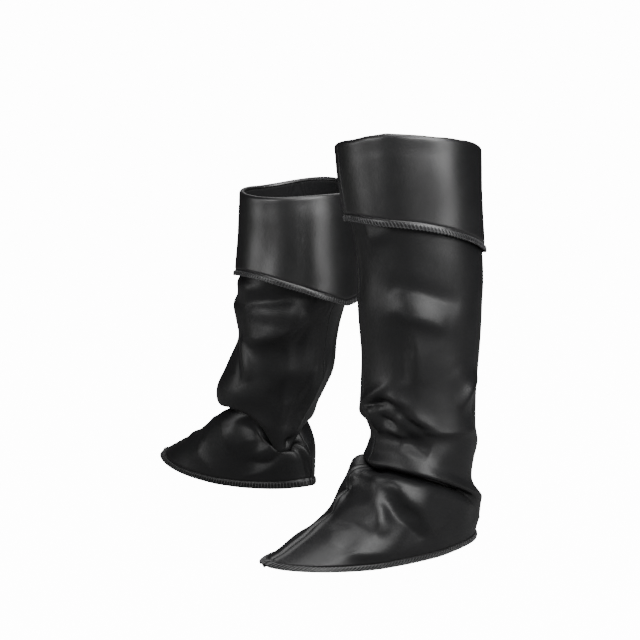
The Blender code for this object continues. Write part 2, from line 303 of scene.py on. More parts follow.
# %% Let the rims and hems hang
LEFT_RIM = [
    (-1.0, 0), (-0.5, 2), (-0.12, 7), (0.0, 9), (0.10, 11.5), (0.20, 11), (0.30, 6), (0.42, 0),
    (0.55, -3), (0.72, -2.5), (0.9, 0), (1.0, 0),
]
LEFT_CUFF_HEM = [
    (-1.0, -1), (-0.85, 0), (-0.6, 0), (-0.12, -1.5), (0.0, -2), (0.1, -4), (0.2, -6), (0.3, -8),
    (0.4, -10), (0.5, -11), (0.7, -10), (0.8, -7.5), (0.9, -4), (1.0, -1),
]
RIGHT_RIM = [(-1.0, 0), (1.0, 0)]
RIGHT_CUFF_HEM = [(-1.0, -4), (-0.9, 0), (-0.75, 2.5), (-0.45, 2), (-0.2, 0.5), (0.8, 0), (1.0, -4)]
RIM_REACH = 60.0


def places(rows):
    """Each point's share round the leg and its distance down the cloth."""
    return np.array([shares_round(row) for row in rows]), lengths_along(rows)


def hung(rows, rim, hem):
    """A cuff's rows, moved up or down by the rim's table at the top and by the hem's below."""
    share, down = places(rows)
    weight = smooth_step(0.0, 1.0, down / down[-1])
    moved = rows.copy()
    for table, part in ((rim, 1 - weight), (hem, weight)):
        at, rise = zip(*table)
        moved[:, :, 2] += np.interp(share, at, rise) * part
    return moved


def hung_at_rim(rows, rim):
    """A shaft's rows, with only their top raised or let down."""
    share, down = places(rows)
    at, rise = zip(*rim)
    moved = rows.copy()
    moved[:, :, 2] += np.interp(share, at, rise) * (1 - smooth_step(0.0, RIM_REACH, down))
    return moved


left_rows = hung_at_rim(left_rows, LEFT_RIM)

# %% [markdown]
# ## Folds
#
# Leatherette is stiff and springy: it doesn't drape like silk, but bends in a few broad ridges and
# breaks into short sharp creases where it is pinched. A cloth simulation would give some folds,
# but not these folds. So each one is placed as a line between points of the cloth, with a
# height and a softness on its right and its left hand. Points are given as (share round the leg,
# millimetres down from the rim). A negative height is a valley.

# %% Measure how far a fold lifts the cloth
Fold = namedtuple("Fold", "name path height right left sharp", defaults=[9.0, 9.0, 2.0])
HALF_ROUND = 175.0  # the length of half a ring, for the folds' flat map


def fold_lift(fold, share, down):
    """The fold's lift at every point of the cloth, tapering towards both of its ends."""
    first = fold.path[0][0]
    at = np.stack((turn_between(first, share) * HALF_ROUND, down), axis=-1)
    line = np.array([((r - first) * HALF_ROUND, d) for r, d in fold.path])
    reached = lengths_along(line)
    nearest = np.full(share.shape, np.inf)
    travelled, side = np.zeros(share.shape), np.zeros(share.shape)
    for i, (a, b) in enumerate(zip(line, line[1:])):
        run = b - a
        t = np.clip(((at - a) @ run) / (run @ run), 0.0, 1.0)
        off = at - a - t[..., None] * run
        away = np.linalg.norm(off, axis=-1)
        closer = away < nearest
        nearest = np.where(closer, away, nearest)
        travelled = np.where(closer, reached[i] + t * (reached[i + 1] - reached[i]), travelled)
        side = np.where(closer, run[0] * off[..., 1] - run[1] * off[..., 0], side)
    along = travelled / reached[-1]
    width = np.where(side > 0, fold.right, fold.left)
    taper = 0.15 + 0.85 * np.sin(np.pi * np.clip(along, 0.0, 1.0)) ** 0.7
    return fold.height * taper * np.exp(-((nearest / width) ** fold.sharp))


def outward(rows):
    """The direction straight out of the cloth at every point."""
    down = np.gradient(rows, axis=0)
    around = np.roll(rows, -1, axis=1) - np.roll(rows, 1, axis=1)
    out = np.cross(down, around)
    return out / np.linalg.norm(out, axis=2, keepdims=True)


def pushed_out(rows, folds):
    """The cloth with every fold lifted straight out of it."""
    share, down = places(rows)
    lift = sum(fold_lift(fold, share, down) for fold in folds)
    print(len(folds), "folds, lifting the cloth from", lift.min().round(1), "to", lift.max().round(1))
    return rows + outward(rows) * lift[:, :, None]


# %% [markdown]
# The broad folds come first. The plain solids have them too, give or take a few millimetres.

# %% The broad folds of the left cover
LEFT_BROAD = [
    Fold("slack below the cuff", [(0.15, 138), (0.42, 164)], 2.0, 16, 16),
    Fold("shade beside it", [(0.20, 152), (0.29, 195)], -1.5, 11, 11),
    Fold("back of the calf", [(0.50, 205), (0.65, 240)], 2.0, 13, 13),
    Fold("pinch at the shin", [(0.02, 238), (0.21, 252)], -3.0),
    Fold("ridge across the ankle", [(0.32, 262), (0.70, 255)], 2.0),
    Fold("edge of the spat", [(0.06, 330), (0.26, 348)], 2.5),
    Fold("drape of the spat", [(0.08, 338), (0.27, 393)], 3.0),
    Fold("crease of the spat", [(0.16, 358), (0.48, 377)], -3.0, 10, 10),
    Fold("inner slack below the cuff", [(-0.30, 140), (-0.60, 165)], 2.5, 18, 18),
    Fold("inner back of the calf", [(-0.52, 200), (-0.68, 235)], 2.0, 13, 13),
    Fold("inner ridge across the ankle", [(-0.35, 262), (-0.70, 255)], 2.0),
    Fold("inner drape of the spat", [(-0.10, 342), (-0.30, 392)], 3.0),
    Fold("inner crease of the spat", [(-0.20, 356), (-0.50, 378)], -2.5, 10, 10),
]
left_cloth = pushed_out(left_rows, LEFT_BROAD)

# %% The broad folds of the right cover
RIGHT_BROAD = [
    Fold("slack below the cuff", [(-0.48, 158), (-0.76, 154)], 3.0, 16, 16),
    Fold("front turn of the billow", [(-0.37, 152), (-0.55, 200)], 2.5),
    Fold("hollow beside it", [(-0.22, 158), (-0.38, 200)], -2.0, 11, 11),
    Fold("back billow", [(-0.93, 185), (-0.95, 228)], 2.5),
    Fold("hollow at the calf", [(-0.83, 195), (-0.84, 228)], -3.0, 10, 10),
    Fold("front of the ankle", [(-0.44, 272), (-0.54, 305)], 2.5),
    Fold("valley under the point", [(-0.62, 285), (-0.72, 325)], -4.0, 11, 11),
    Fold("drape of the spat", [(-0.26, 305), (-0.37, 338)], 2.5),
    Fold("outer slack below the cuff", [(0.35, 125), (0.70, 135)], 3.0, 16, 16),
    Fold("outer hollow at the calf", [(0.50, 190), (0.70, 228)], -2.5, 12, 12),
    Fold("outer front of the ankle", [(0.30, 275), (0.45, 325)], 2.5),
    Fold("outer valley of the spat", [(0.52, 285), (0.66, 325)], -3.0, 11, 11),
]
right_cloth = pushed_out(right_rows, RIGHT_BROAD)

# %% [markdown]
# Then come the small ones: the soft upright folds under the cuff's hem, the knot of pinches where
# the shin bends the cloth, the crumpled edge above the tuck and the pulls of the spat. One side of
# a crease is often steeper than the other, which is what makes it catch the light.

# %% The small folds of the left cover
LEFT_SMALL = [
    Fold("upright at the contour", [(-0.115, 66), (-0.106, 88), (-0.12, 112), (-0.13, 150)], 2.0, 6, 6),
    Fold("upright beside it", [(0.03, 66), (0.045, 86), (0.05, 104)], 1.5, 5, 6),
    Fold("small shelf under the hem", [(0.0, 86), (0.10, 87), (0.20, 83)], 2.2, 6, 9),
    Fold("ledge that shines", [(0.13, 156), (0.26, 161), (0.43, 169)], 3.6, 7, 9, 1.8),
    Fold("flat over the ledge", [(0.12, 134), (0.30, 139), (0.52, 147)], -3.2, 8, 10),
    Fold("edge below the ledge", [(0.225, 160), (0.265, 190), (0.28, 224)], 4.0, 4, 12, 1.5),
    Fold("hollow beside the edge", [(0.18, 174), (0.20, 198), (0.21, 224)], -3.4, 9, 8),
    Fold("pull to the calf", [(0.71, 206), (0.60, 223), (0.53, 241)], 5.6, 6, 7, 1.5),
    Fold("shade under the pull", [(0.76, 228), (0.66, 244)], -2.4, 7, 8),
    Fold("thin ridge at the ankle", [(0.26, 266), (0.45, 265), (0.74, 259)], 2.6, 4, 4, 1.4),
    Fold("knot, rising crest", [(-0.12, 241), (0.01, 232), (0.075, 226), (0.12, 222)], 4.6, 4, 6, 1.4),
    Fold("knot, deep crease", [(-0.04, 239), (0.09, 238), (0.17, 243)], -5.6, 4, 4.5, 1.4),
    Fold("knot, crest to the side", [(0.07, 231), (0.15, 236), (0.23, 245)], 3.8, 4, 5, 1.4),
    Fold("knot, standing crest", [(-0.07, 243), (0.01, 244), (0.0, 256), (0.01, 268)], 4.4, 4, 4, 1.4),
    Fold("knot, pocket", [(0.045, 249), (0.10, 256), (0.16, 262)], -6.0, 5.5, 5.5, 1.5),
    Fold("knot, crest under the pocket", [(0.05, 262), (0.12, 266), (0.20, 274)], 3.2, 4, 5, 1.4),
    Fold("knot, fan", [(0.15, 245), (0.23, 254), (0.31, 268)], -3.4, 5, 6, 1.5),
    Fold("knot, fan crest", [(0.20, 248), (0.29, 256), (0.38, 262)], 2.8, 4, 6, 1.5),
    Fold("hollow over the lip", [(0.16, 277), (0.24, 281), (0.33, 288)], -5.0, 8, 9),
    Fold("rolled fold at the front", [(-0.10, 296), (0.0, 300), (0.07, 304)], 3.2, 6, 6, 1.6),
    Fold("crease under the roll", [(-0.10, 315), (0.0, 318), (0.07, 322)], -3.4, 5, 5, 1.5),
    Fold("flat above the lip", [(0.30, 292), (0.50, 300), (0.72, 312)], -3.0, 10, 12),
    Fold("back of the heel", [(0.72, 262), (0.84, 270), (0.93, 288)], 2.0, 7, 7),
    Fold(
        "drape of the spat",
        [(0.07, 336), (0.142, 358), (0.181, 371), (0.234, 385), (0.29, 398)],
        3.8, 5, 6, 1.3,
    ),
    Fold("tongue of the spat", [(0.17, 339), (0.29, 355), (0.41, 371), (0.52, 382)], 6.6, 6, 13, 1.6),
    Fold("valley of the spat", [(0.145, 358), (0.212, 364), (0.35, 381), (0.51, 392)], -4.2, 9, 5, 1.5),
    Fold("crest across the vamp", [(-0.01, 384), (0.047, 371), (0.153, 368)], 1.8, 6, 7, 1.6),
    Fold("hollow below it", [(0.03, 390), (0.12, 389), (0.23, 398)], -2.4, 9, 7),
    Fold("crest low on the vamp", [(0.05, 398), (0.10, 410), (0.14, 424)], 1.5, 6, 7, 1.6),
    Fold("hollow low on the vamp", [(0.11, 400), (0.17, 414), (0.20, 428)], -1.4, 6, 7),
    Fold("swell over the heel", [(0.20, 421), (0.30, 420), (0.43, 413)], 3.6, 8, 19, 1.8),
    Fold("heel hollow", [(0.70, 334), (0.80, 350)], -1.2, 10, 12),
    Fold("inner pucker, high", [(-0.015, 340), (-0.10, 344)], 3.2, 5, 6),
    Fold("inner pucker, middle", [(-0.015, 366), (-0.12, 371)], 3.2, 6, 7),
    Fold("inner pucker, low", [(-0.02, 392), (-0.06, 420), (-0.03, 448)], 3.0, 9, 7),
    Fold("inner crease between", [(-0.02, 354), (-0.14, 358)], -2.6, 4, 5),
    Fold("inner crease below", [(-0.02, 381), (-0.15, 386)], -2.4, 5, 6),
    Fold("inner knuckle", [(-0.10, 240), (-0.22, 246), (-0.34, 256)], 1.8, 5, 6, 1.6),
    Fold("inner crease", [(-0.08, 250), (-0.24, 258), (-0.40, 264)], -1.6, 4, 6, 1.5),
    Fold("inner upright", [(-0.32, 80), (-0.36, 112), (-0.42, 140)], 1.4, 7, 7),
    Fold("inner pull to the calf", [(-0.52, 196), (-0.60, 218), (-0.70, 238)], 1.5, 9, 5, 1.5),
    Fold("inner drape, sharp", [(-0.10, 340), (-0.17, 358), (-0.27, 380)], 1.4, 7, 4, 1.4),
    Fold("inner pull of the spat", [(-0.18, 354), (-0.34, 364), (-0.48, 380)], -1.5, 8, 4, 1.5),
]
left_cloth = pushed_out(left_cloth, LEFT_SMALL)

# %% The small folds of the right cover
RIGHT_SMALL = [
    Fold("shelf that shines", [(-0.40, 151), (-0.56, 151), (-0.70, 144), (-0.84, 126)], 9.5, 22, 9, 1.8),
    Fold("hollow above the shelf", [(-0.42, 106), (-0.62, 106), (-0.84, 98)], -7.5, 14, 15),
    Fold("fullness under the hem", [(-0.12, 94), (-0.34, 95), (-0.54, 97)], 5.0, 9, 9),
    Fold("flat of the contour", [(-0.12, 117), (-0.34, 118), (-0.50, 118)], -4.5, 11, 11),
    Fold("inner fold of the leg", [(-0.37, 155), (-0.48, 176), (-0.56, 200)], 2.4, 4, 8, 1.5),
    Fold("crease beside it", [(-0.34, 160), (-0.43, 186), (-0.50, 210)], -2.4, 7, 4, 1.5),
    Fold("shade beside the shelf", [(-0.84, 128), (-0.80, 158), (-0.79, 186)], -2.4, 7, 7),
    Fold(
        "strip of light at the back",
        [(-1.035, 182), (-0.985, 207), (-0.975, 238), (-0.93, 266)],
        5.0, 7, 6, 1.5,
    ),
    Fold("crease beside the strip", [(-0.915, 190), (-0.885, 226), (-0.85, 258)], -4.5, 6, 6, 1.6),
    Fold("pull to the lip", [(-0.62, 186), (-0.72, 206), (-0.80, 236)], -2.4, 6, 7, 1.6),
    Fold("crest over the lip", [(-0.40, 238), (-0.60, 246), (-0.78, 256)], 2.4, 8, 6, 1.6),
    Fold("pocket under the point", [(-0.87, 274), (-0.96, 271)], -6.0, 6, 6),
    Fold("crease to the heel", [(-0.88, 281), (-0.959, 308), (-0.977, 332)], -3.4, 4, 6, 1.4),
    Fold("crest beside the crease", [(-0.92, 278), (-1.0, 304), (-1.01, 326)], 2.4, 5, 6, 1.5),
    Fold("hollow under the lip", [(-0.50, 258), (-0.62, 272), (-0.72, 292)], -9.0, 11, 10),
    Fold("front of the spat", [(-0.36, 268), (-0.44, 284), (-0.50, 300)], 3.2, 7, 7, 1.6),
    Fold("valley of the spat", [(-0.86, 300), (-0.78, 312), (-0.64, 309)], -3.0, 6, 6, 1.5),
    Fold("low fold of the spat", [(-0.30, 320), (-0.42, 330), (-0.56, 350)], 2.2, 6, 8, 1.5),
    Fold("inner pucker, high", [(-0.015, 290), (-0.10, 296)], 2.2, 5, 6),
    Fold("inner pucker, low", [(-0.015, 330), (-0.12, 336)], 2.2, 6, 7),
    Fold("outer fold of the leg", [(0.34, 150), (0.44, 176), (0.52, 200)], 2.2, 8, 4, 1.5),
    Fold("outer strip of light", [(0.80, 118), (0.83, 150), (0.86, 182), (0.88, 214)], 2.2, 6, 5, 1.6),
    Fold("outer pull to the lip", [(0.60, 186), (0.70, 208), (0.78, 232)], -2.2, 7, 6, 1.6),
    Fold("outer hollow under the lip", [(0.50, 262), (0.64, 274)], -3.0, 9, 9),
    Fold("outer valley of the spat", [(0.60, 290), (0.66, 308), (0.72, 326)], -2.2, 6, 5, 1.5),
    Fold("outer pull of the vamp", [(0.18, 300), (0.28, 318), (0.36, 344)], 2.0, 8, 5, 1.5),
]
right_cloth = pushed_out(right_cloth, RIGHT_SMALL)

# %% [markdown]
# A front seam is straight on the table but wanders on the leg, because the wearer's stride twists
# the tube. On the left cover it lies a little to the inside of the shin. The points of each row
# are slid round the leg to bring the seam there, most near the seam and not at all at the back.

# %% Let the front seam wander
LEFT_WANDER = [
    (0, -0.10), (240, -0.10), (275, -0.07), (335, -0.05), (363, -0.07), (383, -0.055),
    (427, -0.013), (461, 0.0),
]
RIGHT_WANDER = [(0, 0.06), (220, 0.06), (300, 0.04), (380, 0.0)]


def wandered(rows, wander):
    """The rows with their front seam moved to the given shares at the given distances down."""
    downs, moves = zip(*wander)
    reached = lengths_along(rows)[:, 0]
    moved = np.empty_like(rows)
    for r, row in enumerate(rows):
        share = shares_round(row)
        move = np.interp(reached[r], downs, moves)
        target = share + move * np.exp(-((share / 0.5) ** 2))
        for k in range(3):
            moved[r, :, k] = np.interp(target, share, row[:, k], period=2.0)
    return moved


left_cloth = wandered(left_cloth, LEFT_WANDER)
right_cloth = wandered(right_cloth, RIGHT_WANDER)

# %% [markdown]
# ## Slack, seams and hems
#
# Even where it hangs free, sewn cloth is never quite even. A few long waves laid over each other
# give a slack surface that is the same on every run. They fade out under the cuff, where two
# layers lie close together.
# A seam pulls the cloth in at its stitches and lets it swell beside them, and a hem is doubled, so
# it stands a little proud. Narrow shapes like these need rows close together, so rows are added
# along the hem first.

# %% Add rows along a hem
HEM_ROWS = np.array(
    [14, 12.4, 11.2, 10.2, 9.4, 8.7, 8.0, 7.4, 6.8, 6.2, 5.6, 5.0, 4.2, 3.2, 2.2, 1.2, 0.5, 0.0]
)


def rows_above_hem(rows, heights):
    """Rows of the cloth at the given heights above its last row, measured up each column."""
    upward = rows[::-1]
    reached = lengths_along(upward)
    heights = np.broadcast_to(heights, (len(heights), rows.shape[1]))
    made = np.empty((*heights.shape, 3))
    for c in range(rows.shape[1]):
        for k in range(3):
            made[:, c, k] = np.interp(heights[:, c], reached[:, c], upward[:, c, k])
    return made


def with_hem_rows(rows):
    """The cloth with even rows down to its hem, and the hem's own rows close together."""
    to_hem = lengths_along(rows[::-1])[::-1]
    start = int(np.argmin(to_hem.min(axis=1) > HEM_ROWS[0] + 2 * ROW_STEP)) - 1
    spare = to_hem[start] - HEM_ROWS[0]
    shares = np.linspace(1.0, 0.0, int(spare.max() / ROW_STEP) + 2)[1:-1]
    heights = np.concatenate((HEM_ROWS[0] + shares[:, None] * spare, HEM_ROWS[:, None] + 0 * spare))
    return np.concatenate((rows[: start + 1], rows_above_hem(rows, heights)))


left_cloth, right_cloth = with_hem_rows(left_cloth), with_hem_rows(right_cloth)
print("rows now:", len(left_cloth), len(right_cloth))

# %% Make the cloth slack, seamed and hemmed
CUFF_HEM_WIDTH, SPAT_HEM_WIDTH = 4.6, 7.0
HEM_PROUD = 0.55
NEEDLE_GROOVE, NEEDLE_ABOVE_HEM, NEEDLE_GROOVE_WIDTH = 0.8, 1.7, 0.9
Seam = namedtuple("Seam", "at groove groove_width ridge beside width")
FRONT_SEAM = Seam(0.0, 2.4, 1.2, 2.0, 2.8, 1.8)
BACK_SEAM = Seam(1.0, 0.4, 1.2, 0.5, 2.4, 1.8)
FRONT_SEAM_AT_THE_LEG = 0.12
FRONT_SEAM_AT_THE_CUFF = 0.25


def past(distance, softness):
    """0 well before an edge, 1 well past it, and a soft change between."""
    return 1.0 / (1.0 + np.exp(np.clip(-distance / softness, -40, 40)))


def slack(share, down, seed, height, wave):
    """A few long waves laid over each other, up to the given height, with the same seed each run."""
    chance = np.random.default_rng(seed)
    total = np.zeros(share.shape)
    for _ in range(9):
        turns = chance.integers(-6, 7)
        length = wave * chance.uniform(0.7, 1.8)
        total += np.sin(np.pi * turns * share + 2 * np.pi * (down / length + chance.random()))
    return height * total / 4.5


def seam_lift(seam, share, row_lengths):
    """A groove at the stitches and a soft ridge on each side of it."""
    away = np.abs(turn_between(seam.at, share)) * row_lengths / 2
    ridge = seam.ridge * np.exp(-(((away - seam.beside) / seam.width) ** 2))
    return ridge - seam.groove * np.exp(-((away / seam.groove_width) ** 2))


def hem_lift(above, width):
    """The doubled edge, with a fine groove above it where the needle line pulls the cloth in."""
    from_needle = (above - width - NEEDLE_ABOVE_HEM) / NEEDLE_GROOVE_WIDTH
    return HEM_PROUD * past(width - above, 0.35) - NEEDLE_GROOVE * np.exp(-(from_needle**2))


def lengths_of_rows(rows):
    """How long each row is round the leg."""
    return np.array([lengths_along(row)[-1] for row in rows])[:, None]


def tailored(rows, seed, covered, spat):
    """The cloth with slack, seams and hem; the cuff covers its top, and the spat starts lower."""
    share, down = places(rows)
    row_lengths = lengths_of_rows(rows)
    free = past(down - covered, 6.0)
    on_the_spat = smooth_step(spat - 20.0, spat + 15.0, down)
    crisp = FRONT_SEAM_AT_THE_LEG + (1 - FRONT_SEAM_AT_THE_LEG) * on_the_spat
    lift = slack(share, down, seed, height=0.45, wave=60.0) * free
    lift += seam_lift(FRONT_SEAM, share, row_lengths) * crisp * free
    lift += seam_lift(BACK_SEAM, share, row_lengths) * free
    lift += hem_lift(down[-1] - down, SPAT_HEM_WIDTH)
    return rows + outward(rows) * lift[:, :, None]


left_cloth = tailored(left_cloth, seed=11, covered=70.0, spat=325.0)
right_cloth = tailored(right_cloth, seed=12, covered=100.0, spat=285.0)
print("cloth of the left cover is", round(lengths_along(left_cloth)[-1].mean()), "mm long")

# %% [markdown]
# ## From a net to a panel
#
# The net could be made thick by copying every point, but Blender's Solidify modifier does it in
# one line, keeps the middle of the cloth where the solid has its own, and gives the inside face
# and the cut edges a material of their own, because leatherette has a knitted backing.
# Both feet share one set of helpers: the right foot's frame is the mirror image of the left one's.

# %% Stand a foot in the room
Foot = namedtuple("Foot", "label side heel toe_out")
LEFT_FOOT = Foot("left", 1, (-28.0, 66.0), 33.7)
RIGHT_FOOT = Foot("right", -1, (-269.0, -91.0), 38.7)
RIM_HEIGHT = 400.0


def in_room(points, foot):
    """From a foot's own frame, in millimetres, to the shared frame, in metres."""
    turn = math.radians(foot.toe_out)
    forward = np.array([foot.side * math.sin(turn), -math.cos(turn), 0.0])
    sideways = np.array([foot.side * math.cos(turn), math.sin(turn), 0.0])
    axes = np.array([forward, sideways, [0.0, 0.0, 1.0]])
    return (np.array([*foot.heel, -RIM_HEIGHT]) + points @ axes) * MM


# %% Make a panel of cloth from rows of points
CLOTH = 1.2


def new_piece(name, points, faces, materials):
    """A smooth mesh object, as a piece of the covers that rides on their one body."""
    mesh = bpy.data.meshes.new(name)
    mesh.from_pydata(points, [], faces)
    mesh.shade_smooth()
    for material in materials:
        mesh.materials.append(material)
    piece = bpy.data.objects.new(name, mesh)
    bpy.context.scene.collection.objects.link(piece)
    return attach(piece, "root")


def net_faces(rows, columns, mirrored):
    """Four-sided faces between neighbouring rows and columns, facing outward."""
    corner = np.arange(rows * columns).reshape(rows, columns)
    quads = [corner[:-1, :-1], corner[1:, :-1], corner[1:, 1:], corner[:-1, 1:]]
    faces = np.stack([q.ravel() for q in (quads[::-1] if mirrored else quads)], axis=1)
    return faces.tolist()


def cloth_panel(name, rows, foot, materials):
    """A thick panel through the rows: outside face, backing and cut edge."""
    faces = net_faces(*rows.shape[:2], foot.side < 0)
    points = in_room(rows.reshape(-1, 3), foot)
    piece = new_piece(name, points.tolist(), faces, materials)
    wall = piece.modifiers.new("cloth", "SOLIDIFY")
    wall.thickness, wall.offset = CLOTH * MM, 0.0
    wall.material_offset, wall.material_offset_rim = 1, 1
    return piece


def flat_area(rows):
    """The area of a net of cloth in square metres."""
    across = np.linalg.norm(np.diff(rows, axis=1), axis=2)[:-1]
    downward = np.linalg.norm(np.diff(rows, axis=0), axis=2)[:, :-1]
    return float((across * downward).sum()) * MM * MM


# %% [markdown]
# ## Leatherette
#
# Leatherette is a skin of polyurethane on a knit. It has a fine pebbled grain, pressed in by a
# roller, and it bends into faint wrinkles where it is worked. It is darkest where it is new and a
# little duller where it has been rubbed. All of this is shared by the shafts and the cuffs, so it
# is made as node groups with named sockets, and each material places them with its own values.

# %% Small helpers for node groups
def new_group(name, inputs, outputs):
    """An empty node group with number sockets, given as (name, value), and named outputs."""
    group = bpy.data.node_groups.new(name, "ShaderNodeTree")
    for socket_name, value in inputs:
        socket = group.interface.new_socket(socket_name, in_out="INPUT", socket_type="NodeSocketFloat")
        socket.default_value = value
    for socket_name in outputs:
        group.interface.new_socket(socket_name, in_out="OUTPUT", socket_type="NodeSocketFloat")
    return group, group.nodes.new("NodeGroupInput"), group.nodes.new("NodeGroupOutput")


def sum_of(nodes, links, first, second, how="ADD"):
    """A Math node that joins two sockets or values."""
    node = nodes.new("ShaderNodeMath")
    node.operation = how
    for slot, source in zip(node.inputs, (first, second)):
        if isinstance(source, (int, float)):
            slot.default_value = source
        else:
            links.new(source, slot)
    return node.outputs[0]


# %% The grain: pebbles with fine hairline valleys between them
grain, grain_in, grain_out = new_group(
    "Leatherette grain", [("Pebbles per metre", 900.0), ("Fineness", 0.35)], ["Height"]
)
where = grain.nodes.new("ShaderNodeTexCoord")
bend = grain.nodes.new("ShaderNodeTexNoise")
bend.inputs["Scale"].default_value = 260.0
pebbles = grain.nodes.new("ShaderNodeTexVoronoi")
pebbles.feature = "SMOOTH_F1"
valleys = grain.nodes.new("ShaderNodeTexVoronoi")
valleys.feature = "DISTANCE_TO_EDGE"
speck = grain.nodes.new("ShaderNodeTexNoise")
speck.inputs["Scale"].default_value = 2600.0
moved = grain.nodes.new("ShaderNodeMixRGB")
moved.blend_type = "LINEAR_LIGHT"
moved.inputs["Fac"].default_value = 0.0012
grain.links.new(where.outputs["Object"], bend.inputs["Vector"])
grain.links.new(where.outputs["Object"], speck.inputs["Vector"])
grain.links.new(where.outputs["Object"], moved.inputs["Color1"])
grain.links.new(bend.outputs["Color"], moved.inputs["Color2"])
for texture in (pebbles, valleys):
    grain.links.new(moved.outputs["Color"], texture.inputs["Vector"])
    grain.links.new(grain_in.outputs["Pebbles per metre"], texture.inputs["Scale"])
edge = grain.nodes.new("ShaderNodeMath")
edge.operation = "SMOOTH_MIN"
edge.inputs[1].default_value, edge.inputs[2].default_value = 0.16, 0.08
grain.links.new(valleys.outputs["Distance"], edge.inputs[0])
domes = sum_of(grain.nodes, grain.links, pebbles.outputs["Distance"], -0.35, "MULTIPLY")
dots = sum_of(grain.nodes, grain.links, speck.outputs["Fac"], grain_in.outputs["Fineness"], "MULTIPLY")
surface = sum_of(grain.nodes, grain.links, edge.outputs[0], 3.0, "MULTIPLY")
surface = sum_of(grain.nodes, grain.links, surface, domes)
grain.links.new(sum_of(grain.nodes, grain.links, surface, dots), grain_out.inputs["Height"])

# %% [markdown]
# The wrinkles are a second effect: long shallow waves, much wider than the grain, that break up a
# highlight. The rub is a third: a soft, cloudy mask of where the skin has lost its gloss.

# %% The wrinkles and the rub
wrinkles, wrinkles_in, wrinkles_out = new_group(
    "Leatherette wrinkles", [("Waves per metre", 28.0), ("Roughness", 0.45)], ["Height"]
)
where = wrinkles.nodes.new("ShaderNodeTexCoord")
wave = wrinkles.nodes.new("ShaderNodeTexNoise")
wave.inputs["Detail"].default_value, wave.inputs["Distortion"].default_value = 2.0, 0.0
wrinkles.links.new(where.outputs["Object"], wave.inputs["Vector"])
wrinkles.links.new(wrinkles_in.outputs["Waves per metre"], wave.inputs["Scale"])
wrinkles.links.new(wrinkles_in.outputs["Roughness"], wave.inputs["Roughness"])
wrinkles.links.new(wave.outputs["Fac"], wrinkles_out.inputs["Height"])

rub, rub_in, rub_out = new_group(
    "Leatherette rub", [("Clouds per metre", 22.0), ("Amount", 0.5)], ["Mask"]
)
where = rub.nodes.new("ShaderNodeTexCoord")
cloud = rub.nodes.new("ShaderNodeTexNoise")
cloud.inputs["Detail"].default_value, cloud.inputs["Roughness"].default_value = 5.0, 0.55
clear = rub.nodes.new("ShaderNodeMapRange")
clear.inputs["From Min"].default_value, clear.inputs["From Max"].default_value = 0.4, 0.7
rub.links.new(where.outputs["Object"], cloud.inputs["Vector"])
rub.links.new(rub_in.outputs["Clouds per metre"], cloud.inputs["Scale"])
rub.links.new(cloud.outputs["Fac"], clear.inputs["Value"])
mask = sum_of(rub.nodes, rub.links, clear.outputs["Result"], rub_in.outputs["Amount"], "MULTIPLY")
rub.links.new(mask, rub_out.inputs["Mask"])
print("node groups:", [group.name for group in bpy.data.node_groups])


# %% The leatherette itself
def leatherette(name, colour, worn_colour, shine, roughness, worn_roughness, grain_depth, wrinkle_depth):
    """Black leatherette: the shader is here, and what changes over the skin comes from groups."""
    made = bpy.data.materials.new(name)
    made.use_nodes = True
    nodes, links = made.node_tree.nodes, made.node_tree.links
    shader = nodes["Principled BSDF"]
    shader.inputs["Specular IOR Level"].default_value = shine
    pebbled, creased, rubbed = (nodes.new("ShaderNodeGroup") for _ in range(3))
    pebbled.node_tree, creased.node_tree, rubbed.node_tree = grain, wrinkles, rub
    tint = nodes.new("ShaderNodeMixRGB")
    tint.inputs["Color1"].default_value = (*colour, 1.0)
    tint.inputs["Color2"].default_value = (*worn_colour, 1.0)
    gloss = nodes.new("ShaderNodeMapRange")
    gloss.inputs["To Min"].default_value = roughness
    gloss.inputs["To Max"].default_value = worn_roughness
    links.new(rubbed.outputs["Mask"], tint.inputs["Fac"])
    links.new(rubbed.outputs["Mask"], gloss.inputs["Value"])
    links.new(tint.outputs["Color"], shader.inputs["Base Color"])
    links.new(gloss.outputs["Result"], shader.inputs["Roughness"])
    fine, broad = nodes.new("ShaderNodeBump"), nodes.new("ShaderNodeBump")
    fine.inputs["Distance"].default_value = grain_depth * MM
    broad.inputs["Distance"].default_value = wrinkle_depth * MM
    links.new(creased.outputs["Height"], broad.inputs["Height"])
    links.new(pebbled.outputs["Height"], fine.inputs["Height"])
    links.new(broad.outputs["Normal"], fine.inputs["Normal"])
    links.new(fine.outputs["Normal"], shader.inputs["Normal"])
    return made


shaft_skin = leatherette(
    "shaft leatherette", (0.007, 0.007, 0.0075), (0.011, 0.011, 0.0115), 0.5, 0.42, 0.5, 0.04, 0.4
)
cuff_skin = leatherette(
    "cuff leatherette", (0.008, 0.008, 0.0085), (0.012, 0.012, 0.0125), 0.9, 0.34, 0.42, 0.03, 0.3
)

# %% [markdown]
# The back of the cloth is a thin black knit. It shows inside the open tops and along cut edges. A
# real knit could be made of loops, but at this size two crossed waves of bump do as well.

# %% The knitted backing
knit, knit_in, knit_out = new_group("Knit loops", [("Loops per metre", 700.0)], ["Height"])
where = knit.nodes.new("ShaderNodeTexCoord")
for direction in ("X", "Z"):
    rib = knit.nodes.new("ShaderNodeTexWave")
    rib.bands_direction = direction
    rib.inputs["Distortion"].default_value = 1.2
    knit.links.new(where.outputs["Object"], rib.inputs["Vector"])
    knit.links.new(knit_in.outputs["Loops per metre"], rib.inputs["Scale"])
ribs = [node for node in knit.nodes if node.bl_idname == "ShaderNodeTexWave"]
loops = sum_of(knit.nodes, knit.links, ribs[0].outputs["Fac"], ribs[1].outputs["Fac"], "MULTIPLY")
knit.links.new(loops, knit_out.inputs["Height"])

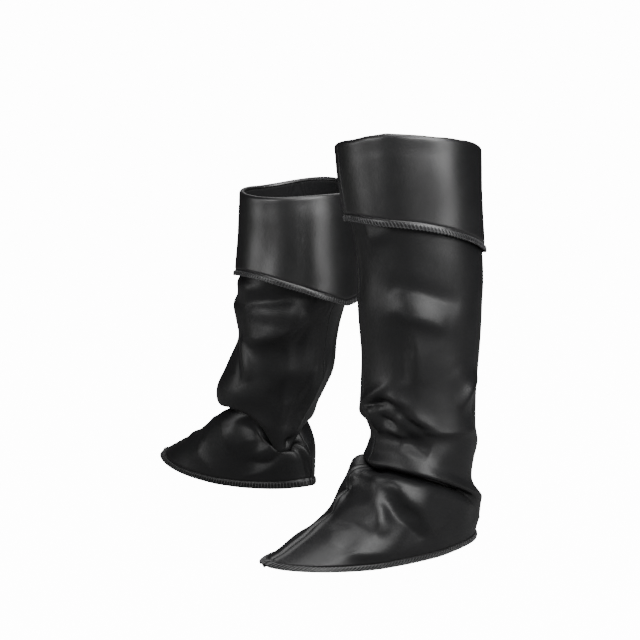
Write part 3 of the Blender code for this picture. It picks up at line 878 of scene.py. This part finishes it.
backing = bpy.data.materials.new("knitted backing")
backing.use_nodes = True
shader = backing.node_tree.nodes["Principled BSDF"]
shader.inputs["Base Color"].default_value = (0.014, 0.014, 0.015, 1.0)
shader.inputs["Roughness"].default_value = 0.9
shader.inputs["Specular IOR Level"].default_value = 0.2
looped = backing.node_tree.nodes.new("ShaderNodeGroup")
looped.node_tree = knit
bump = backing.node_tree.nodes.new("ShaderNodeBump")
bump.inputs["Distance"].default_value = 0.25 * MM
backing.node_tree.links.new(looped.outputs["Height"], bump.inputs["Height"])
backing.node_tree.links.new(bump.outputs["Normal"], shader.inputs["Normal"])
print("materials:", [material.name for material in bpy.data.materials])

# %% [markdown]
# ## The shafts
#
# Each cover's net is split at its front and back seams into an outer and an inner panel, the two
# pieces that are cut and sewn. Each panel takes the place of its plain solid.

# %% Cut the four shaft panels
def shaft_panels(foot, cloth):
    """The outer and the inner panel of a cover."""
    half = cloth.shape[1] // 2
    made = []
    for panel, rows in (("outer", cloth[:, :half]), ("inner", cloth[:, half:])):
        name = f"{foot.label}_shaft_{panel}"
        piece = cloth_panel(f"{name}_cloth", rows, foot, [shaft_skin, backing])
        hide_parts(name)
        print(name, "area", round(flat_area(rows), 4), "m2")
        made.append(piece)
    return made


left_panels = shaft_panels(LEFT_FOOT, left_cloth)
right_panels = shaft_panels(RIGHT_FOOT, right_cloth)

# %% [markdown]
# ## The cuffs
#
# A cuff hangs outside the shaft from a soft roll at the top. It is one strip with its own seam at
# the front. The net runs from the shaft's top edge up over the roll and down to the hem, so that
# the hem is the last row, as on the shafts.

# %% Roll and hang a cuff
ROLL_RISE = 3.0


def cuff_net(rings, rim, slump):
    """Rows from the shaft's top edge, over the roll and down to the cuff's hem."""
    outside = loft([closed_ring(ring, slump, back_seam=False) for ring in rings])
    inside = closed_ring(rim, slump, back_seam=False)
    roll = []
    for turn in np.radians(np.arange(180, 0, -15)):
        share = (1 - math.cos(turn)) / 2
        rise = ROLL_RISE * math.sin(turn) + SEAM_GAP * share
        roll.append(outside[0] * (1 - share) + inside * share + np.array([0, 0, rise]))
    return np.concatenate((roll, outside))


LEFT_CUFF_FOLDS = [
    Fold("soft front turn", [(0.16, 20), (0.15, 90)], 1.0, 16, 16),
    Fold("hollow at the side", [(0.34, 12), (0.36, 92)], -0.9, 20, 20),
    Fold("soft back turn", [(0.66, 14), (0.68, 96)], 0.9, 18, 18),
    Fold("inner hollow", [(-0.40, 12), (-0.42, 80)], -0.8, 22, 22),
]
RIGHT_CUFF_FOLDS = [
    Fold("soft front turn", [(-0.20, 20), (-0.18, 90)], 1.0, 16, 16),
    Fold("hollow at the side", [(-0.45, 12), (-0.46, 90)], -0.8, 22, 22),
    Fold("soft back turn", [(-0.75, 14), (-0.78, 96)], 0.9, 18, 18),
]


def cuff_cloth(net, rim, hem, wander, folds, seed):
    """A cuff's net with its hang, soft turns, slack, front seam and hem."""
    net = pushed_out(hung(net, rim, hem), folds)
    net = with_hem_rows(wandered(net, wander))
    share, down = places(net)
    below_roll = past(down - 22.0, 3.0)
    lift = (slack(share, down, seed, height=0.3, wave=80.0) + 0.3) * below_roll
    seam = seam_lift(FRONT_SEAM, share, lengths_of_rows(net))
    lift += seam * FRONT_SEAM_AT_THE_CUFF * below_roll
    lift += hem_lift(down[-1] - down, CUFF_HEM_WIDTH)
    return net + outward(net) * lift[:, :, None]


left_cuff = cuff_net(LEFT_CUFF, LEFT_RINGS[0], LEFT_SLUMP)
left_cuff = cuff_cloth(left_cuff, LEFT_RIM, LEFT_CUFF_HEM, LEFT_WANDER, LEFT_CUFF_FOLDS, 21)
right_cuff = cuff_net(RIGHT_CUFF, RIGHT_RINGS[0], RIGHT_SLUMP)
right_cuff = cuff_cloth(right_cuff, RIGHT_RIM, RIGHT_CUFF_HEM, RIGHT_WANDER, RIGHT_CUFF_FOLDS, 22)
for foot, net in ((LEFT_FOOT, left_cuff), (RIGHT_FOOT, right_cuff)):
    piece = cloth_panel(f"{foot.label}_cuff_cloth", net, foot, [cuff_skin, backing])
    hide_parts(f"{foot.label}_cuff")
    print(piece.name, "area", round(flat_area(net), 4), "m2")

# %% [markdown]
# ## Stitching
#
# The cut edge of a cuff's hem is overlocked: threads run slanting from a needle line down over the
# edge and back up behind it. The spat's hem is turned up and cover-stitched, which shows as a
# twisted band. Flat bump would vanish at the edge, so every stitch here is a real thread: each is
# a Blender curve that runs all round a hem, laid on the cloth by its distance along and above it.

# %% Find places along a hem
Thread = namedtuple("Thread", "along above lift")


def heights_of(net, values, height):
    """What is stored at every point of the net, read off at one height above the hem."""
    reached = lengths_along(net[::-1])
    columns = range(net.shape[1])
    return np.array(
        [[np.interp(height[0, 0], reached[:, c], values[::-1, c, k]) for k in range(3)] for c in columns]
    )


def hem_line(net, above):
    """Points and outward directions of the cloth, at one height above the hem."""
    height = np.array([[max(above, 0.0)]])
    line = rows_above_hem(net, height)[0]
    facing = heights_of(net, outward(net), height)
    below = net[-1] - net[-2]
    below /= np.linalg.norm(below, axis=1, keepdims=True)
    return line + below * max(-above, 0.0), facing / np.linalg.norm(facing, axis=1, keepdims=True)


def laid_along(net, pattern, pitch):
    """A thread's points: the pattern of one stitch, repeated all the way along the hem."""
    hem = net[-1]
    reached = lengths_along(hem)
    starts = np.arange(1.0, reached[-1] - pitch - 1.0, pitch)
    parts = []
    for step in pattern:
        line, facing = hem_line(net, step.above)
        at = starts + step.along * pitch
        point = np.stack([np.interp(at, reached, line[:, k]) for k in range(3)], axis=1)
        out = np.stack([np.interp(at, reached, facing[:, k]) for k in range(3)], axis=1)
        parts.append(point + out * step.lift)
    return np.stack(parts, axis=1).reshape(-1, 3)


# %% Sew with a curve
def sewn(name, points, foot, radius, material):
    """A round thread through the points, as a smooth curve."""
    data = bpy.data.curves.new(name, "CURVE")
    data.dimensions = "3D"
    data.resolution_u, data.bevel_depth, data.bevel_resolution = 2, radius * MM, 1
    spline = data.splines.new("NURBS")
    spline.points.add(len(points) - 1)
    spline.order_u, spline.use_endpoint_u = 3, True
    placed = in_room(points, foot)
    spline.points.foreach_set("co", np.concatenate((placed, np.ones((len(placed), 1))), 1).ravel())
    data.materials.append(material)
    thread = bpy.data.objects.new(name, data)
    bpy.context.scene.collection.objects.link(thread)
    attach(thread, "root")
    return thread


def thread_material(name, colour, roughness):
    """Black polyester thread, with fine fibres that vary its tint."""
    made = bpy.data.materials.new(name)
    made.use_nodes = True
    nodes, links = made.node_tree.nodes, made.node_tree.links
    shader = nodes["Principled BSDF"]
    shader.inputs["Roughness"].default_value = roughness
    shader.inputs["Sheen Weight"].default_value = 0.25
    where, fibre = nodes.new("ShaderNodeTexCoord"), nodes.new("ShaderNodeTexNoise")
    fibre.inputs["Scale"].default_value = 1800.0
    tint = nodes.new("ShaderNodeMixRGB")
    tint.inputs["Color1"].default_value = (*[c * 0.6 for c in colour], 1.0)
    tint.inputs["Color2"].default_value = (*[c * 1.5 for c in colour], 1.0)
    bump = nodes.new("ShaderNodeBump")
    bump.inputs["Distance"].default_value = 0.15 * MM
    links.new(where.outputs["Object"], fibre.inputs["Vector"])
    links.new(fibre.outputs["Fac"], tint.inputs["Fac"])
    links.new(tint.outputs["Color"], shader.inputs["Base Color"])
    links.new(fibre.outputs["Fac"], bump.inputs["Height"])
    links.new(bump.outputs["Normal"], shader.inputs["Normal"])
    return made


OVERLOCK_RADIUS, CHAIN_RADIUS, COVER_RADIUS = 0.40, 0.24, 0.38
overlock_thread = thread_material("overlock thread", (0.05, 0.05, 0.053), 0.55)
cover_thread = thread_material("cover stitch thread", (0.05, 0.05, 0.052), 0.50)

# %% The overlocked hem of the cuffs
HALF_CLOTH = CLOTH / 2
OVERLOCK = [
    Thread(0.00, 4.4, HALF_CLOTH + 0.15),
    Thread(0.30, 3.4, HALF_CLOTH + 0.55),
    Thread(0.55, 1.8, HALF_CLOTH + 0.60),
    Thread(0.72, 0.2, HALF_CLOTH + 0.50),
    Thread(0.80, -0.5, 0.0),
    Thread(0.88, 0.4, -HALF_CLOTH - 0.35),
    Thread(1.00, 2.4, -HALF_CLOTH - 0.35),
    Thread(1.00, 4.2, -HALF_CLOTH - 0.10),
]
EDGE_LOOPS = [
    Thread(0.00, -0.2, HALF_CLOTH + 0.35),
    Thread(0.35, 0.9, HALF_CLOTH + 0.75),
    Thread(0.65, -0.2, HALF_CLOTH + 0.60),
    Thread(0.95, -0.6, 0.1),
]
OVERLOCK_PITCH = 3.3
for foot, net in ((LEFT_FOOT, left_cuff), (RIGHT_FOOT, right_cuff)):
    slant = laid_along(net, OVERLOCK, OVERLOCK_PITCH)
    chain = laid_along(net, EDGE_LOOPS, OVERLOCK_PITCH)
    [
        sewn(f"{foot.label}_cuff_{kind}", points, foot, radius, overlock_thread)
        for kind, points, radius in (
            ("overlock", slant, OVERLOCK_RADIUS),
            ("edge_chain", chain, CHAIN_RADIUS),
        )
    ]
    print(foot.label, "cuff:", len(slant) // len(OVERLOCK), "overlock stitches")

# %% The cover-stitched hem of the spats
COVER = [
    Thread(0.00, 0.4, HALF_CLOTH + 0.35),
    Thread(0.12, 2.4, HALF_CLOTH + 0.65),
    Thread(0.26, 4.6, HALF_CLOTH + 0.65),
    Thread(0.38, 6.8, HALF_CLOTH + 0.30),
    Thread(0.48, 7.0, -0.1),
    Thread(0.80, 3.6, -0.2),
    Thread(0.94, 0.7, -0.1),
]
COVER_PITCH = 3.6
for foot, cloth in ((LEFT_FOOT, left_cloth), (RIGHT_FOOT, right_cloth)):
    band = laid_along(cloth, COVER, COVER_PITCH)
    name = f"{foot.label}_spat_stitches"
    sewn(name, band, foot, COVER_RADIUS, cover_thread)
    print(foot.label, "spat:", len(band) // len(COVER), "cover stitches")

# %% [markdown]
# ## The cut
#
# A shaft panel is cut from a rectangle, but its outline is narrow at the leg and wide at the spat,
# so its flat area is printed as each panel is made.

# %% [markdown]
# ## Floor and light
#
# Black leatherette is only seen by what it reflects, so where a lamp stands matters more than its
# strength. A low key panel to the right of the camera and a low front panel at its left give the
# two upright bands of the cuff. A wide upper panel lights the folds that tilt upward, a small one
# the right cover, a high one the broad side of the spat, and one overhead the instep and the rims.
# A panel behind keeps the backs readable. Floor and room look white to the camera, but they light
# the covers only a little, because white surroundings would turn the black cloth grey.

# %% The floor
def pale(name, colour, roughness, glow):
    """A plain finish that glows to the camera alone, so that it looks white there."""
    made = bpy.data.materials.new(name)
    made.use_nodes = True
    shader = made.node_tree.nodes["Principled BSDF"]
    shader.inputs["Base Color"].default_value = (*colour, 1.0)
    shader.inputs["Roughness"].default_value = roughness
    shader.inputs["Specular IOR Level"].default_value = 0.1
    shader.inputs["Emission Color"].default_value = (1.0, 1.0, 1.0, 1.0)
    seen = made.node_tree.nodes.new("ShaderNodeLightPath")
    strength = sum_of(
        made.node_tree.nodes, made.node_tree.links, seen.outputs["Is Camera Ray"], glow, "MULTIPLY"
    )
    made.node_tree.links.new(strength, shader.inputs["Emission Strength"])
    return made


FLOOR_REACH = 30.0
FLOOR_LEVEL = -RIM_HEIGHT * MM
WHITE_TO_THE_CAMERA = 14.0
SKY_STRENGTH = 0.035
corner_signs = ((-1, -1), (1, -1), (1, 1), (-1, 1))
corners = [(FLOOR_REACH * x, FLOOR_REACH * y, FLOOR_LEVEL) for x, y in corner_signs]
floor_mesh = bpy.data.meshes.new("floor")
floor_mesh.from_pydata(corners, [], [(0, 1, 2, 3)])
floor_mesh.materials.append(pale("pale floor", (0.2, 0.2, 0.2), 0.8, WHITE_TO_THE_CAMERA))
floor = bpy.data.objects.new("floor", floor_mesh)
bpy.context.scene.collection.objects.link(floor)

room = bpy.data.worlds.new("pale room")
room.use_nodes = True
bpy.context.scene.world = room
sky = room.node_tree.nodes["Background"]
seen = room.node_tree.nodes.new("ShaderNodeBackground")
sky.inputs["Color"].default_value = (0.86, 0.87, 0.9, 1.0)
sky.inputs["Strength"].default_value = SKY_STRENGTH
seen.inputs["Color"].default_value = (1.0, 1.0, 1.0, 1.0)
seen.inputs["Strength"].default_value = WHITE_TO_THE_CAMERA
choose = room.node_tree.nodes.new("ShaderNodeMixShader")
path = room.node_tree.nodes.new("ShaderNodeLightPath")
room.node_tree.links.new(path.outputs["Is Camera Ray"], choose.inputs["Fac"])
room.node_tree.links.new(sky.outputs["Background"], choose.inputs[1])
room.node_tree.links.new(seen.outputs["Background"], choose.inputs[2])
out = room.node_tree.nodes["World Output"]
room.node_tree.links.new(choose.outputs["Shader"], out.inputs["Surface"])


# %% The lamps
MIDDLE = np.array([-0.12, -0.08, -0.2])


def soft_panel(name, azimuth, elevation, distance, width, height, watts):
    """A soft panel aimed at the covers; azimuth 0 is the camera's side, and it grows to its right."""
    data = bpy.data.lights.new(name, "AREA")
    data.shape, data.size, data.size_y, data.energy = "RECTANGLE", width, height, watts
    lamp = bpy.data.objects.new(name, data)
    a, e = math.radians(azimuth), math.radians(elevation)
    away = np.array([math.cos(e) * math.cos(a), math.cos(e) * math.sin(a), math.sin(e)])
    lamp.location = MIDDLE + away * distance
    aim = lamp.location.copy()
    aim.x, aim.y, aim.z = away
    lamp.rotation_euler = aim.to_track_quat("Z", "Y").to_euler()
    bpy.context.scene.collection.objects.link(lamp)
    print(name, tuple(round(c, 2) for c in lamp.location))


LAMPS = [
    ("key panel", 52, 11, 2.2, 1.0, 0.6, 9),
    ("upper panel", 25, 27, 2.2, 2.0, 0.6, 36),
    ("front panel", -88, 6, 2.2, 0.7, 0.7, 4.5),
    ("small panel", -58, 19, 2.2, 0.8, 0.6, 12),
    ("spat panel", 50, 50, 2.2, 0.9, 0.7, 22),
    ("top panel", 0, 76, 2.4, 1.8, 1.8, 36),
    ("back panel", 172, 42, 2.4, 1.6, 1.0, 14),
]
for lamp in LAMPS:
    soft_panel(*lamp)
